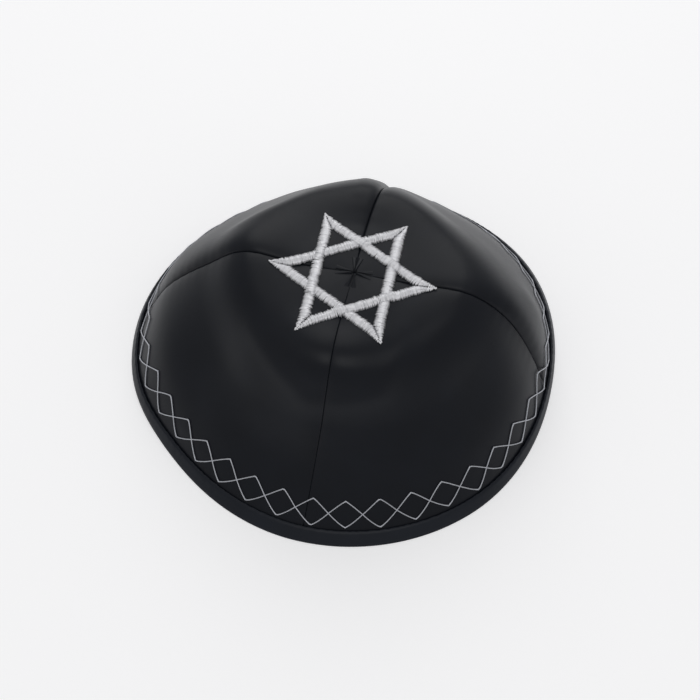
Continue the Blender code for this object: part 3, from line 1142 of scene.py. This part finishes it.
@dataclass
class RimBinding:
    """Folded strip of satin sewn over the gores' lower edges."""

    cap: CapShape
    height: float = 4.2 * MM
    inside_height: float = 3.8 * MM
    wall: float = 1.0 * MM
    foot_radius: float = 0.4 * MM
    slot_out: float = 0.25 * MM
    slot_in: float = -1.1 * MM
    steps: int = 432
    arc_steps: int = 5
    foot_steps: int = 4
    side_shares: tuple[float, ...] = (0.36, 0.52, 0.68)
    inner_share: float = 0.45
    pucker_height: float = 0.10 * MM
    pucker_length: float = 3.4 * MM
    pucker_lean: float = 0.5
    pucker_drift: float = 1.2 * MM
    drift_waves: int = 23

    def section(self) -> Array:
        """Lays out the strip's section.

        Returns:
            Heights and offsets from the cloth, in order round the section.
        """
        half = self.wall / 2
        swing = np.linspace(0, math.pi, self.arc_steps + 2)
        quarter = np.linspace(0, math.pi / 2, self.foot_steps)
        outer_top = np.stack(
            [self.height - half + half * np.sin(swing), self.slot_out + half + half * np.cos(swing)], -1
        )
        inner_top = np.stack(
            [
                self.inside_height - half + half * np.sin(swing),
                self.slot_in - half + half * np.cos(swing),
            ],
            -1,
        )
        outer_face = self.slot_out + self.wall
        inner_face = self.slot_in - self.wall
        up, back = self.foot_radius * (1 - np.sin(quarter)), self.foot_radius * (1 - np.cos(quarter))
        foot_out = np.stack([up, outer_face - back], -1)[::-1]
        foot_in = np.stack([up, inner_face + back], -1)
        outer_side = np.array([[share * self.height, outer_face] for share in self.side_shares])
        slot = np.array([[self.wall, self.slot_out], [self.wall, self.slot_in]])
        inner_side = np.array([[self.inner_share * self.inside_height, inner_face]])
        return np.concatenate([foot_out, outer_side, outer_top, slot, inner_top, inner_side, foot_in])

    def build(self, finish: bpy.types.Material) -> bpy.types.Object:
        """Builds the strip: its section turned round, then fitted to the wall.

        Args:
            finish: the binding's satin.

        Returns:
            The finished piece.
        """
        ring = bmesh.new()
        rim = self.cap.rim_radius
        section = [ring.verts.new((rim + offset, 0, height)) for height, offset in self.section()]
        sides = [ring.edges.new((section[index - 1], section[index])) for index in range(len(section))]
        turn_round(ring, section + sides, self.steps)
        spots = vert_places(ring)
        azimuth = np.degrees(np.arctan2(spots[:, 1], spots[:, 0]))
        offset = np.hypot(spots[:, 0], spots[:, 1]) - rim
        height = spots[:, 2]
        way = np.radians(azimuth) * rim
        drift = self.pucker_drift * np.sin(np.radians(azimuth) * self.drift_waves)
        lean = way + self.pucker_lean * height + drift
        pucker = np.sin(lean * math.tau / self.pucker_length) * np.clip(height / self.height, 0, 1)
        offset = offset + np.where(offset > 0, self.pucker_height * pucker, 0)
        move_verts(ring, self.cap.wall_point(azimuth, height, offset))
        layer = ring.loops.layers.uv.new(CLOTH_UV)
        ring.verts.index_update()
        whole = math.tau * rim
        for face in ring.faces:
            first = way[face.loops[0].vert.index]
            for loop in face.loops:
                index = loop.vert.index
                round_way = way[index] + whole * round((first - way[index]) / whole)
                loop[layer].uv = (height[index] / MM + offset[index] / MM, round_way / MM)
        bmesh.ops.recalc_face_normals(ring, faces=ring.faces)
        return add_piece("binding_strip", ring, finish, ("rim_binding",))


@dataclass(frozen=True)
class SoftBox:
    """One square soft light: degrees round from the front and above the floor, metres and watts."""

    name: str
    azimuth: float
    elevation: float
    far: float
    size: float
    power: float


SOFTBOXES = (
    SoftBox("back_softbox", 190, 38, 1.2, 0.9, 4.0),
    SoftBox("top_softbox", 12, 72, 1.2, 0.7, 3.0),
)


@dataclass
class Studio:
    """Pale floor, soft light and the camera, at the photograph's angle."""

    cap: CapShape
    elevation: float = 56.0
    azimuth: float = 12.5
    distance: float = 0.8
    focal_pixels: float = 1995.0
    frame_pixels: float = 700.0
    sensor: float = 36.0
    look_right: float = 1.4 * MM
    look_forward: float = 2.0 * MM
    aim_height: float = 30.0 * MM
    floor_size: float = 6.0
    floor_segments: int = 8
    world_strength: float = 0.44
    world_colour: str = "#FFFFFF"

    def direction(self, azimuth: float, elevation: float) -> Vector:
        """Gives the direction towards a place above the floor, as the views name it."""
        turn, rise = math.radians(azimuth), math.radians(elevation)
        return Vector(
            (math.sin(turn) * math.cos(rise), -math.cos(turn) * math.cos(rise), math.sin(rise))
        )

    def aim(self, item: bpy.types.Object, target: Vector) -> None:
        """Points a camera or a light at a target."""
        item.rotation_euler = (target - item.location).to_track_quat("-Z", "Y").to_euler()

    def add_camera(self) -> None:
        """Sets the camera where the photograph was taken from."""
        turn = math.radians(self.azimuth)
        right = Vector((math.cos(turn), math.sin(turn), 0))
        forward = Vector((-math.sin(turn), math.cos(turn), 0))
        middle = Vector((self.cap.centre_x, self.cap.centre_y, 0))
        target = middle + right * self.look_right + forward * self.look_forward
        camera = bpy.data.objects.new("camera", bpy.data.cameras.new("camera"))
        camera.data.sensor_width = self.sensor
        camera.data.lens = self.focal_pixels / self.frame_pixels * self.sensor
        camera.location = target + self.direction(self.azimuth, self.elevation) * self.distance
        self.aim(camera, target)
        bpy.context.scene.collection.objects.link(camera)
        bpy.context.scene.camera = camera

    def add_light(self, box: SoftBox) -> None:
        """Adds a soft light that looks at the middle of the cap.

        Args:
            box: the light's place, size and power.
        """
        lamp = bpy.data.lights.new(box.name, "AREA")
        lamp.size = box.size
        lamp.energy = box.power
        light = bpy.data.objects.new(box.name, lamp)
        light.location = self.direction(box.azimuth, box.elevation) * box.far
        self.aim(light, Vector((0, 0, self.aim_height)))
        bpy.context.scene.collection.objects.link(light)

    def build(self) -> None:
        """Sets the floor, the lights, the surrounding light and the camera."""
        floor = bmesh.new()
        count = self.floor_segments
        bmesh.ops.create_grid(floor, x_segments=count, y_segments=count, size=self.floor_size / 2)
        add_object("floor", floor, FloorFinish().material())
        for box in SOFTBOXES:
            self.add_light(box)
        world = bpy.data.worlds.new("studio")
        world.use_nodes = True
        background = world.node_tree.nodes["Background"]
        background.inputs["Color"].default_value = linear(self.world_colour)
        background.inputs["Strength"].default_value = self.world_strength
        bpy.context.scene.world = world
        bpy.context.scene.view_settings.view_transform = "Standard"
        self.add_camera()


def main() -> None:
    """Builds the dressed cap in order, and then the studio."""
    logging.basicConfig(level=logging.INFO, format="%(name)s %(message)s")
    cap = CapShape()
    satin = SatinFinish().material()
    binding_satin = SatinFinish(
        name="satin_polyester_bias_cut", dark="#14171D", light="#1E222A", slub_width=0.6
    ).material()
    silver = SilverFinish().material()
    names = ("back_right", "back_left", "front_left", "front_right")
    for index, name in enumerate(names):
        next_seam = SEAMS[(index + 1) % len(SEAMS)]
        SatinGore(f"gore_{name}", f"panel_{name}", cap, SEAMS[index], next_seam).build(satin)
    RimBinding(cap).build(binding_satin)
    StarEmbroidery(cap).build(silver)
    fine_silver = SilverFinish(
        name="silver_film_thread_fine", pale="#B9BBC2", grey="#84868D"
    ).material()
    border = BorderEmbroidery(cap)
    for thread in (0, 1):
        border.build_thread(thread, fine_silver)
    Studio(cap).build()


if __name__ == "__main__":
    main()
